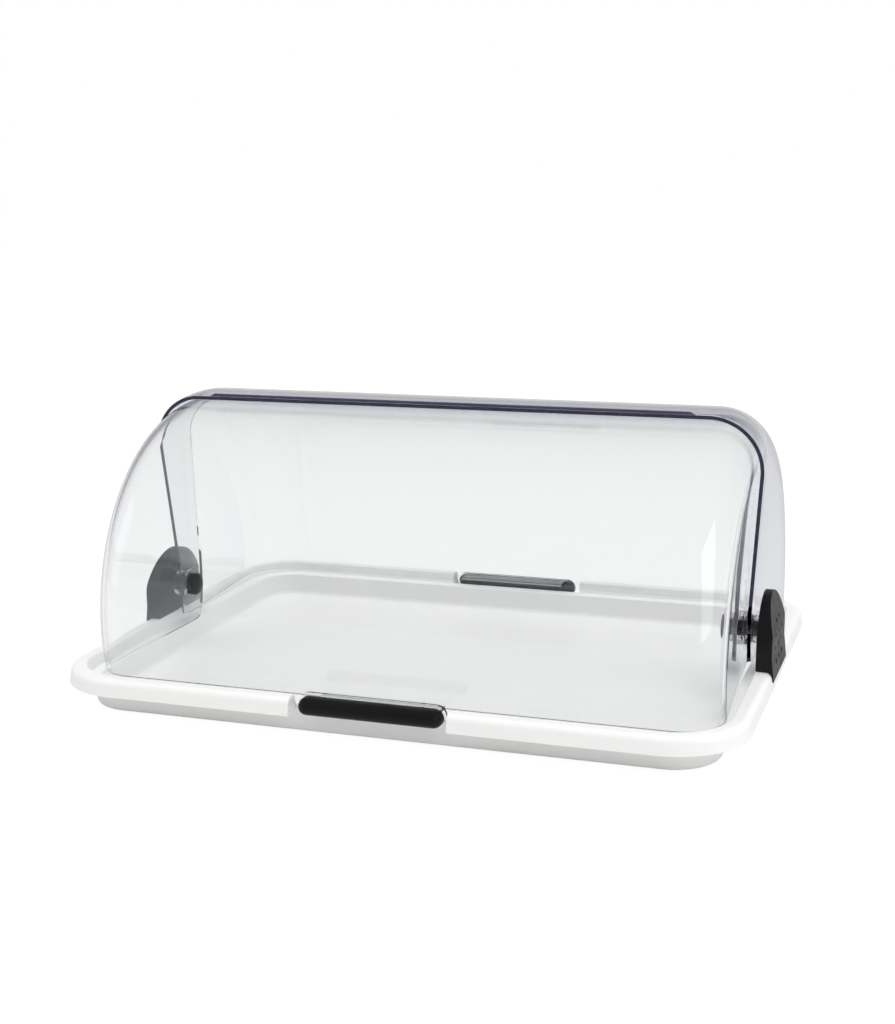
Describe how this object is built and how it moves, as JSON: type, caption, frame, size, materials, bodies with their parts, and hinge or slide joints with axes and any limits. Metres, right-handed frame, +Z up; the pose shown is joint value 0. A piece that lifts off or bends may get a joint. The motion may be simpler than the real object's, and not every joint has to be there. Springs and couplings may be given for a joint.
{
  "type": "countertop bread display case",
  "caption": "Countertop bread display case: white moulded tray with black side brackets and a clear roll-top dome in front and rear covers that turn on shared pivot pins.",
  "frame": {"origin": "middle of the footprint, on the worktop under the feet", "axes": "+X along the pivot axis towards the case's right-hand bracket seen from the front, +Y towards the rear, +Z up; the front faces -Y"},
  "size_m": [0.56, 0.416, 0.2373],
  "materials": {
    "white_tray": "smooth moulded, satin gloss",
    "clear_cover": "clear, polished, dark violet along cut edges",
    "black_plastic": "fine satin moulded",
    "grey_rubber": "matt",
    "screw_steel": "zinc plated"
  },
  "bodies": {
    "base": {"tray": "white_tray", "left_bracket": "black_plastic", "right_bracket": "black_plastic", "left_pivot_pin": "black_plastic", "right_pivot_pin": "black_plastic", "left_cover_spacer": "clear_cover", "right_cover_spacer": "clear_cover", "left_bracket_collar": "clear_cover", "right_bracket_collar": "clear_cover", "left_bracket_screw_front": "screw_steel", "foot_front_left": "grey_rubber", "right_bracket_screw_front": "screw_steel", "foot_front_right": "grey_rubber", "left_bracket_screw_rear": "screw_steel", "foot_rear_left": "grey_rubber", "right_bracket_screw_rear": "screw_steel", "foot_rear_right": "grey_rubber"},
    "front_cover": {"front_cover": "clear_cover", "front_handle_grip": "black_plastic", "front_handle_screw_left": "screw_steel", "front_handle_screw_right": "screw_steel"},
    "rear_cover": {"rear_cover": "clear_cover", "rear_handle_grip": "black_plastic", "rear_handle_screw_left": "screw_steel", "rear_handle_screw_right": "screw_steel"}
  },
  "joints": [
    {"name": "front_cover_hinge", "type": "hinge", "parent": "base", "child": "front_cover", "pos_m": [0, 0, 0.0585], "axis": [-1, 0, 0], "range_deg": [0, 60]},
    {"name": "rear_cover_hinge", "type": "hinge", "parent": "base", "child": "rear_cover", "pos_m": [0, 0, 0.0585], "axis": [1, 0, 0], "range_deg": [0, 27]}
  ]
}
